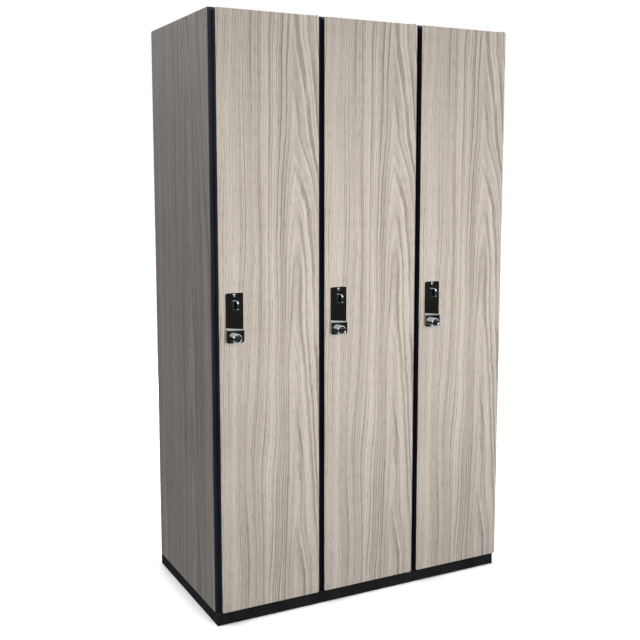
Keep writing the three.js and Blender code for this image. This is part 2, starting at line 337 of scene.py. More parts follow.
def streak(tree, value, scale):
    made = node(tree, "ShaderNodeTexNoise", noise_dimensions="1D")
    plug(tree, value, made.inputs["W"])
    made.inputs["Scale"].default_value = scale
    made.inputs["Detail"].default_value = 1.0
    return made.outputs["Fac"]


def place_of(tree, x, y, z):
    made = node(tree, "ShaderNodeCombineXYZ")
    for number, value in enumerate((x, y, z)):
        if isinstance(value, (int, float)):
            made.inputs[number].default_value = value
        else:
            plug(tree, value, made.inputs[number])
    return made.outputs[0]


# ---------------------------------------------------------------- shared effects
def build_timber_print():
    """Printed pale ash: nested arches round a leaning heart line, straight lines beside it, pores."""
    group, given, wanted = new_group(
        "timber print",
        (
            ("Across", "NodeSocketFloat", 0.0),
            ("Along", "NodeSocketFloat", 0.0),
            ("Heart", "NodeSocketFloat", 0.226),
            ("Figure", "NodeSocketFloat", 1.0),
            ("Pale", "NodeSocketColor", (0.66, 0.6, 0.53, 1)),
            ("Line", "NodeSocketColor", (0.36, 0.31, 0.26, 1)),
        ),
        (("Colour", "NodeSocketColor"), ("Relief", "NodeSocketFloat")),
    )
    across = given["Across"]
    upward = given["Along"]
    right_spread = 0.7
    left_spread = 1.25
    arch_foot = 0.016
    arch_lean = 0.046
    # a power under 2 draws the arches to a point
    arch_power = 1.5
    # the lines crowd into a darker band just left of the heart
    band_offset = 0.036
    # how much ink each layer of the print adds
    main_ink = 0.6
    fine_ink = 0.34
    fine_ink_in_band = 0.5
    soft_ink = 0.08
    band_ink = 0.2
    pore_ink = 0.26
    crown_ink = 0.5

    def grain(sideways, x_scale, z_scale, seed, detail=1.0):
        """Noise drawn out along the sheet."""
        x = calc(group, "MULTIPLY", sideways, x_scale)
        z = calc(group, "MULTIPLY", upward, z_scale)
        return cloud(group, place_of(group, x, z, seed), 1.0, detail)

    def wander(x_scale, z_scale, seed, size, detail=1.0):
        """A smooth push to either side, at most about half of size."""
        centred = calc(group, "SUBTRACT", grain(across, x_scale, z_scale, seed, detail), 0.5)
        return calc(group, "MULTIPLY", centred, size)

    # slow waves carry the whole figure sideways, small ones roughen it
    swayed = calc(group, "ADD", across, wander(9.0, 1.7, 3.0, 0.05))
    swayed = calc(group, "ADD", swayed, wander(30.0, 5.0, 6.0, 0.007))
    # distance from the heart of the trunk: lines crowd on its left and open out on its right
    side = calc(group, "SUBTRACT", swayed, given["Heart"])
    right = calc(group, "MULTIPLY", calc(group, "MAXIMUM", side, 0.0), right_spread)
    left = calc(group, "MULTIPLY", calc(group, "MINIMUM", side, 0.0), -left_spread)
    sideways = calc(group, "POWER", calc(group, "ADD", right, left), arch_power)
    leaning = calc(group, "MULTIPLY_ADD", upward, arch_lean, arch_foot)
    depth = calc(group, "ADD", leaning, wander(0.0, 2.6, 8.0, 0.035))
    depth = calc(group, "POWER", calc(group, "MULTIPLY", depth, given["Figure"]), arch_power)
    ring = calc(group, "POWER", calc(group, "ADD", sideways, depth), 1 / arch_power)
    ring = calc(group, "ADD", ring, wander(70.0, 16.0, 5.0, 0.0028, 2.0))

    def stripes(value, scale, seed):
        return streak(group, calc(group, "ADD", value, seed), scale)

    def thin_lines(scale, width, seed):
        """Thin dark lines, unevenly spaced."""
        away = calc(group, "ABSOLUTE", calc(group, "SUBTRACT", stripes(ring, scale, seed), 0.5))
        return spread(group, away, 0.0, width, 1.0, 0.0)

    main = thin_lines(112.0, 0.06, 2.9)
    fine = thin_lines(215.0, 0.12, 4.1)
    soft = spread(group, stripes(ring, 60.0, 7.7), 0.4, 0.66)
    bands = spread(group, stripes(swayed, 27.0, 2.2), 0.36, 0.66)
    fade = spread(group, grain(across, 26.0, 2.2, 1.0), 0.36, 0.62, 0.25, 1.0)
    pores = spread(group, grain(swayed, 480.0, 34.0, 0.0), 0.5, 0.68)
    off_band = calc(group, "ABSOLUTE", calc(group, "ADD", side, band_offset))
    crowded = spread(group, off_band, 0.012, 0.034, fine_ink_in_band, fine_ink)
    dark = calc(group, "MULTIPLY", calc(group, "MULTIPLY", main, main_ink), fade)
    dark = calc(group, "MULTIPLY_ADD", fine, crowded, dark)
    # the crowns of the arches are paler than their legs
    off_heart = calc(group, "ABSOLUTE", side)
    dark = calc(group, "MULTIPLY", dark, spread(group, off_heart, 0.0, 0.016, crown_ink, 1.0))
    dark = calc(group, "MULTIPLY_ADD", soft, soft_ink, dark)
    dark = calc(group, "MULTIPLY_ADD", bands, band_ink, dark)
    dark = calc(group, "ADD", dark, calc(group, "MULTIPLY", pores, pore_ink), clamp=True)
    plug(group, blend_colours(group, dark, given["Pale"], given["Line"]), wanted["Colour"])
    # pores and main lines lie below the face
    pressed = calc(group, "MULTIPLY", main, -0.4)
    plug(group, calc(group, "MULTIPLY_ADD", pores, -0.6, pressed), wanted["Relief"])
    return group


def build_fine_mottling():
    """A value that wanders between two ends, for roughness and tone."""
    group, given, wanted = new_group(
        "fine mottling",
        (
            ("Place", "NodeSocketVector", (0, 0, 0)),
            ("Scale", "NodeSocketFloat", 20.0),
            ("Low", "NodeSocketFloat", 0.3),
            ("High", "NodeSocketFloat", 0.5),
        ),
        (("Value", "NodeSocketFloat"),),
    )
    noise = node(group, "ShaderNodeTexNoise")
    plug(group, given["Place"], noise.inputs["Vector"])
    plug(group, given["Scale"], noise.inputs["Scale"])
    noise.inputs["Detail"].default_value = 3.0
    mask = spread(group, noise.outputs["Fac"], 0.3, 0.7)
    span = calc(group, "SUBTRACT", given["High"], given["Low"])
    plug(group, calc(group, "MULTIPLY_ADD", mask, span, given["Low"]), wanted["Value"])
    return group


def build_settled_dust():
    """Dust on what faces up, and a thin film near the floor."""
    film_height = 0.09
    mote_scale = 38.0
    group, given, wanted = new_group(
        "settled dust",
        (
            ("Place", "NodeSocketVector", (0, 0, 0)),
            ("Amount", "NodeSocketFloat", 0.3),
            ("Floor film", "NodeSocketFloat", 0.2),
        ),
        (("Mask", "NodeSocketFloat"),),
    )
    facing = node(group, "ShaderNodeNewGeometry")
    split = node(group, "ShaderNodeSeparateXYZ")
    plug(group, facing.outputs["Normal"], split.inputs[0])
    lying = spread(group, split.outputs["Z"], 0.55, 0.98)
    heights = node(group, "ShaderNodeSeparateXYZ")
    plug(group, given["Place"], heights.inputs[0])
    low_down = spread(group, heights.outputs["Z"], 0.0, film_height, 1.0, 0.0)
    motes = spread(group, cloud(group, given["Place"], mote_scale, 4.0, 0.6), 0.4, 0.66)
    film = calc(group, "MULTIPLY", low_down, given["Floor film"])
    total = calc(group, "ADD", calc(group, "MULTIPLY", lying, given["Amount"]), film)
    plug(group, calc(group, "MULTIPLY", total, motes, clamp=True), wanted["Mask"])
    return group


def build_hairlines():
    """Fine polishing lines and a few handling marks along one direction."""
    line_scales = (60.0, 900.0, 2600.0)
    mark_scale = 90.0
    group, given, wanted = new_group(
        "hairlines",
        (
            ("Place", "NodeSocketVector", (0, 0, 0)),
            ("Strength", "NodeSocketFloat", 0.5),
        ),
        (("Mask", "NodeSocketFloat"), ("Relief", "NodeSocketFloat")),
    )
    split = node(group, "ShaderNodeSeparateXYZ")
    plug(group, given["Place"], split.inputs[0])
    drawn = [calc(group, "MULTIPLY", split.outputs[axis], line_scales[axis]) for axis in range(3)]
    lines = cloud(group, place_of(group, *drawn), 1.0, 2.0)
    marks = spread(group, cloud(group, given["Place"], mark_scale, 3.0, 0.7), 0.55, 0.75)
    both = calc(group, "ADD", calc(group, "MULTIPLY", lines, 0.5), marks)
    plug(group, calc(group, "MULTIPLY", both, given["Strength"], clamp=True), wanted["Mask"])
    plug(group, lines, wanted["Relief"])
    return group


TIMBER_PRINT = build_timber_print()
FINE_MOTTLING = build_fine_mottling()
SETTLED_DUST = build_settled_dust()
HAIRLINES = build_hairlines()


# ---------------------------------------------------------------- finishes
def start_finish(name):
    material = bpy.data.materials.new(name)
    material.use_nodes = True
    tree = material.node_tree
    tree.nodes.clear()
    shader = node(tree, "ShaderNodeBsdfPrincipled")
    end = node(tree, "ShaderNodeOutputMaterial")
    plug(tree, shader.outputs[0], end.inputs["Surface"])
    place = node(tree, "ShaderNodeTexCoord").outputs["Object"]
    return material, tree, shader, place


def use_group(tree, group, **values):
    made = node(tree, "ShaderNodeGroup", node_tree=group)
    for label, value in values.items():
        socket = made.inputs[label.replace("_", " ")]
        if isinstance(value, (int, float, tuple)):
            socket.default_value = value
        else:
            plug(tree, value, socket)
    return made.outputs


def relief(tree, shader, height, strength, depth):
    bump = node(tree, "ShaderNodeBump")
    bump.inputs["Strength"].default_value = strength
    bump.inputs["Distance"].default_value = depth
    plug(tree, height, bump.inputs["Height"])
    plug(tree, bump.outputs[0], shader.inputs["Normal"])


def laminate(name, across, upright, repeats, heart, figure):
    """across and upright name the axes that the sheet's width and length lie along.

    The print starts again on each locker where it repeats, and otherwise runs from the rear edge.
    """
    material, tree, shader, place = start_finish(name)
    split = node(tree, "ShaderNodeSeparateXYZ")
    plug(tree, place, split.inputs[0])
    if repeats:
        width = calc(tree, "MODULO", calc(tree, "SUBTRACT", split.outputs[across], BANK_LEFT), PITCH)
    else:
        width = calc(tree, "SUBTRACT", BANK_BACK, split.outputs[across])
    printed = use_group(
        tree,
        TIMBER_PRINT,
        Across=width,
        Along=split.outputs[upright],
        Heart=heart,
        Figure=figure,
        Pale=PALE_ASH,
        Line=ASH_LINE,
    )
    tone = use_group(tree, FINE_MOTTLING, Place=place, Scale=5.0, Low=0.0, High=0.12)
    colour = blend_colours(tree, tone["Value"], printed["Colour"], ASH_SHADE)
    dust = use_group(tree, SETTLED_DUST, Place=place, Amount=0.3, Floor_film=0.18)
    colour = blend_colours(tree, dust["Mask"], colour, PALE_DUST)
    plug(tree, colour, shader.inputs["Base Color"])
    sheen = use_group(tree, FINE_MOTTLING, Place=place, Scale=14.0, Low=0.42, High=0.52)
    plug(tree, sheen["Value"], shader.inputs["Roughness"])
    shader.inputs["Specular IOR Level"].default_value = 0.35
    relief(tree, shader, printed["Relief"], 0.25, 0.1 * MM)
    return material


def plain_finish(name, base, patch, rough, scale, dust, grain, specular=0.5):
    """A painted, moulded or faced surface: two near tones, wandering gloss, dust, a fine grain."""
    material, tree, shader, place = start_finish(name)
    tone = use_group(tree, FINE_MOTTLING, Place=place, Scale=scale, Low=0.0, High=1.0)
    colour = blend_colours(tree, tone["Value"], base, patch)
    settled = use_group(tree, SETTLED_DUST, Place=place, Amount=dust, Floor_film=dust)
    colour = blend_colours(tree, settled["Mask"], colour, DARK_DUST)
    plug(tree, colour, shader.inputs["Base Color"])
    gloss = use_group(tree, FINE_MOTTLING, Place=place, Scale=scale * 3, Low=rough[0], High=rough[1])
    plug(tree, gloss["Value"], shader.inputs["Roughness"])
    shader.inputs["Specular IOR Level"].default_value = specular
    relief(tree, shader, cloud(tree, place, GRAIN_SCALE, 2.0), grain, 0.05 * MM)
    return material


def metal_finish(name, base, worn, rough, scale, lines):
    """Plated or polished metal: wandering gloss, tarnish in patches, fine lines."""
    material, tree, shader, place = start_finish(name)
    shader.inputs["Metallic"].default_value = 1.0
    tone = use_group(tree, FINE_MOTTLING, Place=place, Scale=scale, Low=0.0, High=0.8)
    colour = blend_colours(tree, tone["Value"], base, worn)
    drawn = use_group(tree, HAIRLINES, Place=place, Strength=lines)
    colour = blend_colours(tree, calc(tree, "MULTIPLY", drawn["Mask"], 0.3), colour, worn)
    plug(tree, colour, shader.inputs["Base Color"])
    gloss = use_group(tree, FINE_MOTTLING, Place=place, Scale=scale * 4, Low=rough[0], High=rough[1])
    plug(tree, calc(tree, "MULTIPLY_ADD", drawn["Mask"], 0.08, gloss["Value"]), shader.inputs["Roughness"])
    relief(tree, shader, drawn["Relief"], 0.06, 0.02 * MM)
    return material


PALE_ASH = (0.69, 0.62, 0.545, 1)
ASH_LINE = (0.3, 0.255, 0.21, 1)
ASH_SHADE = (0.3, 0.24, 0.21, 1)
PALE_DUST = (0.42, 0.39, 0.36, 1)
DARK_DUST = (0.3, 0.28, 0.26, 1)
GRAIN_SCALE = 1400.0

DOOR_LAMINATE = laminate("ash laminate, doors", "X", "Z", repeats=True, heart=0.226, figure=1.0)
SIDE_LAMINATE = laminate("ash laminate, sides", "Y", "Z", repeats=False, heart=0.29, figure=1.0)
TOP_LAMINATE = laminate("ash laminate, tops", "X", "Y", repeats=True, heart=0.12, figure=0.5)
EDGE_BAND = plain_finish(
    "black edge band",
    base=(0.011, 0.014, 0.024, 1),
    patch=(0.016, 0.02, 0.034, 1),
    rough=(0.4, 0.52),
    scale=9.0,
    dust=0.02,
    grain=0.15,
)
PLINTH_BLACK = plain_finish(
    "black plinth board",
    base=(0.005, 0.005, 0.006, 1),
    patch=(0.009, 0.009, 0.01, 1),
    rough=(0.5, 0.65),
    scale=12.0,
    dust=0.02,
    grain=0.3,
    specular=0.2,
)
LAMINATE_CORE = plain_finish(
    "laminate core line",
    base=(0.2, 0.13, 0.085, 1),
    patch=(0.15, 0.1, 0.07, 1),
    rough=(0.5, 0.6),
    scale=40.0,
    dust=0.0,
    grain=0.2,
    specular=0.3,
)
WHITE_FACING = plain_finish(
    "off-white facing",
    base=(0.72, 0.71, 0.68, 1),
    patch=(0.68, 0.67, 0.64, 1),
    rough=(0.4, 0.55),
    scale=7.0,
    dust=0.08,
    grain=0.2,
    specular=0.35,
)
BACK_BOARD = plain_finish(
    "white back board",
    base=(0.66, 0.65, 0.62, 1),
    patch=(0.58, 0.57, 0.54, 1),
    rough=(0.5, 0.65),
    scale=5.0,
    dust=0.3,
    grain=0.4,
    specular=0.3,
)
MOULDED_BLACK = plain_finish(
    "moulded black plastic",
    base=(0.018, 0.018, 0.019, 1),
    patch=(0.028, 0.028, 0.03, 1),
    rough=(0.38, 0.52),
    scale=60.0,
    dust=0.2,
    grain=0.5,
)
RUBBER = plain_finish(
    "buffer rubber",
    base=(0.03, 0.03, 0.03, 1),
    patch=(0.05, 0.05, 0.048, 1),
    rough=(0.6, 0.8),
    scale=90.0,
    dust=0.3,
    grain=0.5,
)
POLISHED_STEEL = metal_finish(
    "dark polished steel",
    base=(0.46, 0.42, 0.37, 1),
    worn=(0.3, 0.31, 0.28, 1),
    rough=(0.07, 0.14),
    scale=18.0,
    lines=0.5,
)
CHROME = metal_finish(
    "chrome",
    base=(0.84, 0.88, 0.92, 1),
    worn=(0.68, 0.74, 0.8, 1),
    rough=(0.04, 0.1),
    scale=60.0,
    lines=0.25,
)
ZINC = metal_finish(
    "zinc plate",
    base=(0.6, 0.61, 0.62, 1),
    worn=(0.42, 0.44, 0.46, 1),
    rough=(0.3, 0.46),
    scale=150.0,
    lines=0.6,
)
BRASS = metal_finish(
    "brass",
    base=(0.72, 0.55, 0.28, 1),
    worn=(0.5, 0.36, 0.17, 1),
    rough=(0.22, 0.36),
    scale=120.0,
    lines=0.5,
)


# ---------------------------------------------------------------- cabinet boards
def board(name, cad_name, rounding=BOARD_ROUND, steps=2):
    piece = block(name, *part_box(cad_name))
    ease_all(piece, rounding, steps)
    return piece


def side_board(name, cad_name, recessed):
    """An upright board with its upper rear corner rounded.

    Where it is recessed, each end has a pocket for a hinge leaf.
    """
    rear_corner = 8 * MM
    leaf_gap = 0.3 * MM
    pocket_depth = 2.8 * MM
    low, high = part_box(cad_name)
    piece = block(name, low, high)
    pick_edges(piece, lambda m, w: along(w, ALONG_X) and near(m.y, high.y) and near(m.z, high.z))
    round_picked(piece, rear_corner, 6)
    ease_all(piece)
    if recessed:
        leaf_low, leaf_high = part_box("pivot_top_1")
        near_corner = (leaf_low.x - leaf_gap, low.y - OVERSHOOT)
        far_corner = (leaf_high.x + leaf_gap, leaf_high.y + leaf_gap)
        carve(
            piece,
            block("upper pocket", (*near_corner, high.z - pocket_depth), (*far_corner, high.z + OVERSHOOT)),
            block("lower pocket", (*near_corner, low.z - OVERSHOOT), (*far_corner, low.z + pocket_depth)),
        )
        tidy_mesh(piece)
    return piece


def fit_board(piece, cad_name, *faced):
    """Off-white, with a black band along the front and rear edges and a brown line at its front left edge.

    faced holds a laminate and the rule for its faces, on a board that shows one.
    """
    finish_faces(
        piece,
        (WHITE_FACING, None),
        *faced,
        (EDGE_BAND, lambda c, n: abs(n.y) > 0.5),
        (LAMINATE_CORE, lambda c, n: n.y < -0.2 and n.x < -0.2),
    )
    soften(piece)
    hand_out(piece, cad_name, "cabinet")


def build_cabinet():
    left = side_board("side_left_board", "side_left_1", recessed=False)
    fit_board(left, "side_left", (SIDE_LAMINATE, lambda c, n: n.x < -0.3 or n.z > 0.3))
    right = side_board("side_right_board", "side_right_1", recessed=True)
    fit_board(right, "side_right", (SIDE_LAMINATE, lambda c, n: n.x > 0.3 or n.z > 0.3))
    top = board("top_board", "top_1")
    fit_board(top, "top", (TOP_LAMINATE, lambda c, n: n.z > 0.3))
    fit_board(board("bottom_board", "bottom_1"), "bottom")
    fit_board(board("hat_shelf_board", "hat_shelf_1", 1.0 * MM, 3), "hat_shelf")

    back = board("back_panel", "back_1", 0.4 * MM, 1)
    finish_faces(back, (BACK_BOARD, None), (WHITE_FACING, lambda c, n: n.y < -0.5))
    soften(back)
    hand_out(back, "back", "cabinet")

    base = board("plinth_frame", "plinth", 1.0 * MM)
    finish_faces(base, (PLINTH_BLACK, None))
    soften(base)
    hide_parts("plinth")
    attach(base, "cabinet")


# ---------------------------------------------------------------- doors
def pivot_axis(end):
    """Where the door's pin stands, in the middle of the hinge leaf's round nose."""
    low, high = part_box(f"pivot_{end}_1")
    return (low.x + high.x) / 2, low.y + (high.x - low.x) / 2


def barrel_drill(front, back, radius, sides=32):
    """A cutter along the lock barrel's axis, through everything from front to back."""
    start = (BARREL_X, front - OVERSHOOT, BARREL_Z)
    return rod("drill", start, (BARREL_X, back + OVERSHOOT, BARREL_Z), radius, sides)


def coin_way(front, back, half_width, end_margin):
    """A cutter for the coin's way, end_margin short of the coin entry's ends, or past them if negative."""
    return block(
        "coin way",
        (COIN_SLOT_X - half_width, front - OVERSHOOT, entry_low.z + end_margin),
        (COIN_SLOT_X + half_width, back + OVERSHOOT, entry_high.z - end_margin),
    )


def build_doors():
    door_corner = 5 * MM
    edge_band_round = 0.9 * MM
    pin_bore = 3.4 * MM
    pin_depth = 12.4 * MM
    leaf = block("door_leaf", door_low, door_high)
    pick_edges(leaf, lambda m, w: along(w, ALONG_Y))
    round_picked(leaf, door_corner, 6)
    pick_edges(leaf, lambda m, w: near(m.y, door_low.y))
    round_picked(leaf, edge_band_round, 3)
    pick_edges(leaf, lambda m, w: near(m.y, door_high.y))
    round_picked(leaf, BOARD_ROUND, 2)
    pin = pivot_axis("top")
    carve(
        leaf,
        rod("upper pin bore", (*pin, door_high.z - pin_depth), (*pin, door_high.z + OVERSHOOT), pin_bore),
        rod("lower pin bore", (*pin, door_low.z - OVERSHOOT), (*pin, door_low.z + pin_depth), pin_bore),
        barrel_drill(door_low.y, door_high.y, BARREL_BORE),
        coin_way(door_low.y, door_high.y, 6 * MM, -2.5 * MM),
    )
    tidy_mesh(leaf)
    finish_faces(
        leaf,
        (EDGE_BAND, None),
        (DOOR_LAMINATE, lambda c, n: n.y < -0.45 and c.y < door_low.y + 1.2 * MM),
        (WHITE_FACING, lambda c, n: n.y > 0.7 and c.y > door_high.y - 1.0 * MM),
    )
    soften(leaf)
    hand_out(leaf, "door", "door_{}")


# ---------------------------------------------------------------- screws
def screw(name, seat, facing, radius, height):
    """A domed head with a hexagon socket, standing on its seat and looking along facing."""
    socket_share = 0.42
    seat = Vector(seat)
    crown = seat + facing * height
    head = rod(name, seat, crown, radius, 24)
    pick_edges(head, lambda m, w: abs((m - crown).dot(facing)) < 0.01 * MM and abs(w.dot(facing)) < 0.1)
    round_picked(head, height * 0.75, 4)
    socket_floor = crown - facing * height * 0.5
    carve(head, rod("socket", socket_floor, crown + facing * height, radius * socket_share, 6))
    tidy_mesh(head)
    soften(head, 40)
    return head


def screws(name, seats, facing, radius, height, body, finish=ZINC):
    """One head is made, and the rest of the row are copies of it."""
    row = row_of(name, screw(name, seats[0], facing, radius, height), seats)
    finish_faces(row, (finish, None))
    hand_out(row, None, body)


# ---------------------------------------------------------------- fittings on the cabinet
def pivot_leaf(end, flat, pin):
    """The leaf fills the two heights of flat, and its pin those of pin."""
    nose_round = 4.8 * MM
    tail_round = 1.5 * MM
    pin_radius = 3 * MM
    low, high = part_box(f"pivot_{end}_1")
    axis = pivot_axis(end)
    leaf = block("leaf", (low.x, low.y, flat[0]), (high.x, high.y, flat[1]))
    pick_edges(leaf, lambda m, w: along(w, ALONG_Z) and near(m.y, low.y))
    round_picked(leaf, nose_round, 8)
    pick_edges(leaf, lambda m, w: along(w, ALONG_Z) and near(m.y, high.y))
    round_picked(leaf, tail_round, 3)
    ease_all(leaf, 0.25 * MM)
    stem = rod("pin", (*axis, pin[0]), (*axis, pin[1]), pin_radius, 24)
    ease_all(stem, 0.4 * MM)
    fit(joined(f"pivot_{end}_leaf", leaf, stem), ZINC, f"pivot_{end}", "cabinet")


def build_hinges():
    thick = 2 * MM
    riveted = 0.4 * MM
    screw_sink = 0.2 * MM
    for end in ("top", "bottom"):
        low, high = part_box(f"pivot_{end}_1")
        if end == "top":
            flat = (high.z - thick, high.z)
            pin = (low.z, high.z - riveted)
            facing = ALONG_Z
            seat_z = high.z - screw_sink
        else:
            flat = (low.z, low.z + thick)
            pin = (low.z + riveted, high.z)
            facing = -ALONG_Z
            seat_z = low.z + screw_sink
        pivot_leaf(end, flat, pin)
        middle = (low.x + high.x) / 2
        seats = [(middle, high.y - from_tail, seat_z) for from_tail in (7 * MM, 26 * MM)]
        screws(f"pivot_{end}_screws", seats, facing, 2.6 * MM, 0.6 * MM, "cabinet")


def build_strike():
    """An angle: one leg on the side board, the other one standing behind the cam's place."""
    thick = 2 * MM
    free_corner = 3 * MM
    screw_from_rear = 9 * MM
    screw_from_end = 8 * MM
    low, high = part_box("strike_1")
    plate = block("strike_plate", low, (low.x + thick, high.y, high.z))
    slice_at(plate, (low.x, low.y + thick, low.z), (0, 1, 0))
    pick_faces(plate, lambda c, n: n.x > 0.9 and c.y < low.y + thick)
    push_picked((high.x - low.x - thick, 0, 0))
    close_mesh(plate)
    pick_edges(plate, lambda m, w: along(w, ALONG_Y) and near(m.x, high.x))
    round_picked(plate, free_corner, 4)
    ease_all(plate, 0.35 * MM)
    fit(plate, ZINC, "strike", "cabinet")
    heights = (low.z + screw_from_end, high.z - screw_from_end)
    seats = [(low.x + thick, high.y - screw_from_rear, z) for z in heights]
    screws("strike_screws", seats, ALONG_X, 3.2 * MM, 1.6 * MM, "cabinet")


def build_hook():
    """A plate with a curled prong that ends in a ball."""
    plate_thick = 3 * MM
    wire_radius = 4 * MM
    root_height = 20 * MM
    root_sunk = 1 * MM
    straight = 20 * MM
    bend = 14 * MM
    curl = math.radians(115)
    ball_radius = 5.6 * MM
    screw_from_end = 8 * MM
    low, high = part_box("coat_hook_1")
    middle = (low.x + high.x) / 2
    plate_front = high.y - plate_thick
    root_y = plate_front + root_sunk
    root_z = low.z + root_height
    plate = block("hook_plate", (low.x, plate_front, low.z), high)
    pick_edges(plate, lambda m, w: along(w, ALONG_Y))
    round_picked(plate, 6 * MM, 6)
    ease_all(plate, 0.6 * MM)
    nothing_selected()
    bpy.ops.mesh.primitive_circle_add(
        vertices=20,
        radius=wire_radius,
        fill_type="NGON",
        location=(middle, root_y, root_z),
        rotation=(math.radians(90), 0, 0),
    )
    prong = settle("prong")
    open_mesh(prong, "FACE")
    bpy.ops.mesh.select_all(action="SELECT")
    push_picked((0, -straight, 0))
    bend_centre = (middle, root_y - straight, root_z + bend)
    bpy.ops.mesh.spin(steps=10, angle=-curl, center=bend_centre, axis=(1, 0, 0))
    close_mesh(prong)
    tidy_mesh(prong)
    tip = (middle, root_y - straight - bend * math.sin(curl), root_z + bend - bend * math.cos(curl))
    nothing_selected()
    bpy.ops.mesh.primitive_uv_sphere_add(segments=20, ring_count=12, radius=ball_radius, location=tip)
    ball = settle("ball")
    piece = joined("coat_hook_piece", plate, prong, ball)
    fit(piece, ZINC, "coat_hook", "cabinet", 40)
    seats = [(middle, plate_front, z) for z in (low.z + screw_from_end, high.z - screw_from_end)]
    screws("coat_hook_screws", seats, -ALONG_Y, 3.4 * MM, 1.6 * MM, "cabinet")


def buttons(name, seats, facing, radius, height, edge, finish):
    """A row of plain round buttons with softened rims, standing on their seats."""
    seat = Vector(seats[0])
    first = rod(name, seat, seat + facing * height, radius, 20)
    ease_all(first, edge, 3)
    fit(row_of(name, first, seats), finish, None, "cabinet", 40)


def build_small_fittings():
    left_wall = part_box("side_left_1")[1].x
    right_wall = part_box("side_right_1")[0].x
    walls = (("left", left_wall, ALONG_X), ("right", right_wall, -ALONG_X))
    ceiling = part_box("top_1")[0].z
    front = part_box("top_1")[0].y
    inner_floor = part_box("bottom_1")[1].z
    shelf_low, shelf_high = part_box("hat_shelf_1")
    back_low, back_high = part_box("back_1")

    # rubber buffers that the door closes on
    buffer_x = left_wall + 14 * MM
    from_board = 6 * MM
    seats = [(buffer_x, front, z) for z in (ceiling + from_board, inner_floor - from_board)]
    buttons("door_buffers", seats, -ALONG_Y, 4 * MM, 3.6 * MM, 1.2 * MM, RUBBER)

    # pins under the hat shelf
    pin_z = shelf_low.z - 2.6 * MM
    for side, x, facing in walls:
        seats = [(x, y, pin_z) for y in (shelf_low.y + 40 * MM, shelf_high.y - 60 * MM)]
        name = f"shelf_pins_{side}"
        buttons(name, seats, facing, 2.5 * MM, 9 * MM, 0.4 * MM, ZINC)

    # caps over the screws that tie one locker to the next
    cap_depths = (front + 60 * MM, back_low.y - 80 * MM)
    cap_heights = (220 * MM, 1120 * MM)
    for side, x, facing in walls:
        seats = [(x, y, z) for y in cap_depths for z in cap_heights]
        name = f"joint_caps_{side}"
        buttons(name, seats, facing, 6 * MM, 1.8 * MM, 0.8 * MM, WHITE_FACING)

    # screws that hold the back panel, in two rows
    from_side = 12 * MM
    from_end = 60 * MM
    gaps = 5
    pace = (back_high.z - back_low.z - 2 * from_end) / gaps
    heights = [back_low.z + from_end + step * pace for step in range(gaps + 1)]
    seats = [(x, back_high.y, z) for x in (back_low.x + from_side, back_high.x - from_side) for z in heights]
    screws("back_screws", seats, ALONG_Y, 3.2 * MM, 1.2 * MM, "cabinet")


# ---------------------------------------------------------------- lock
def stretch_ramp(plate, ledge, thin_front, end, factor):
    """Sets how high the hollow above the ledge climbs at one end of the plate."""
    hollow_top = ledge + 7 * MM
    mesh = open_mesh(plate, "VERT")
    for corner in mesh.verts:
        place = corner.co
        hollow = ledge + 0.05 * MM < place.z < hollow_top and place.y < thin_front + 0.1 * MM
        corner.select_set(hollow and end(place.x))
    mesh.select_flush_mode()
    bmesh.update_edit_mesh(plate.data)
    bpy.ops.transform.resize(value=(1, 1, factor), center_override=(0, 0, ledge))
    close_mesh(plate)


def build_lock_plate():
    """A thin plate whose lower end is a thicker ledge, with a hollow between them."""
    thin = 2 * MM
    ledge_height = 31 * MM
    hollow_round = 5.6 * MM
    corner = 5 * MM
    screw_from_top = 6 * MM
    low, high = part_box("lock_plate_1")
    middle = (low.x + high.x) / 2
    thin_front = high.y - thin
    ledge = low.z + ledge_height
    plate = block("lock_plate_face", (low.x, thin_front, low.z), high)
    slice_at(plate, (low.x, low.y, ledge), (0, 0, 1))
    pick_faces(plate, lambda c, n: n.y < -0.9 and c.z < ledge)
    push_picked((0, low.y - thin_front, 0))
    close_mesh(plate)
    pick_edges(plate, lambda m, w: along(w, ALONG_X) and near(m.z, ledge) and near(m.y, thin_front))
    round_picked(plate, hollow_round, 10)
    # the hollow narrows from left to right
    stretch_ramp(plate, ledge, thin_front, lambda x: x < middle, 1.55)
    stretch_ramp(plate, ledge, thin_front, lambda x: x > middle, 0.4)
    pick_edges(plate, lambda m, w: along(w, ALONG_Y) and near(m.z, high.z))
    round_picked(plate, corner, 8)
    pick_edges(plate, lambda m, w: along(w, ALONG_Y) and near(m.z, low.z))
    round_picked(plate, corner, 8)
    ease_all(plate, 0.6 * MM, 3, 50)
    carve(
        plate,
        barrel_drill(low.y, high.y, BARREL_BORE, 40),
        coin_way(low.y, high.y, 4.5 * MM, 1.5 * MM),
    )
    tidy_mesh(plate)
    fit(plate, POLISHED_STEEL, "lock_plate", "door_{}", 38)
    seat = (middle, thin_front, high.z - screw_from_top)
    screws("plate_screw", [seat], -ALONG_Y, 4 * MM, 2.2 * MM, "door_{}", CHROME)


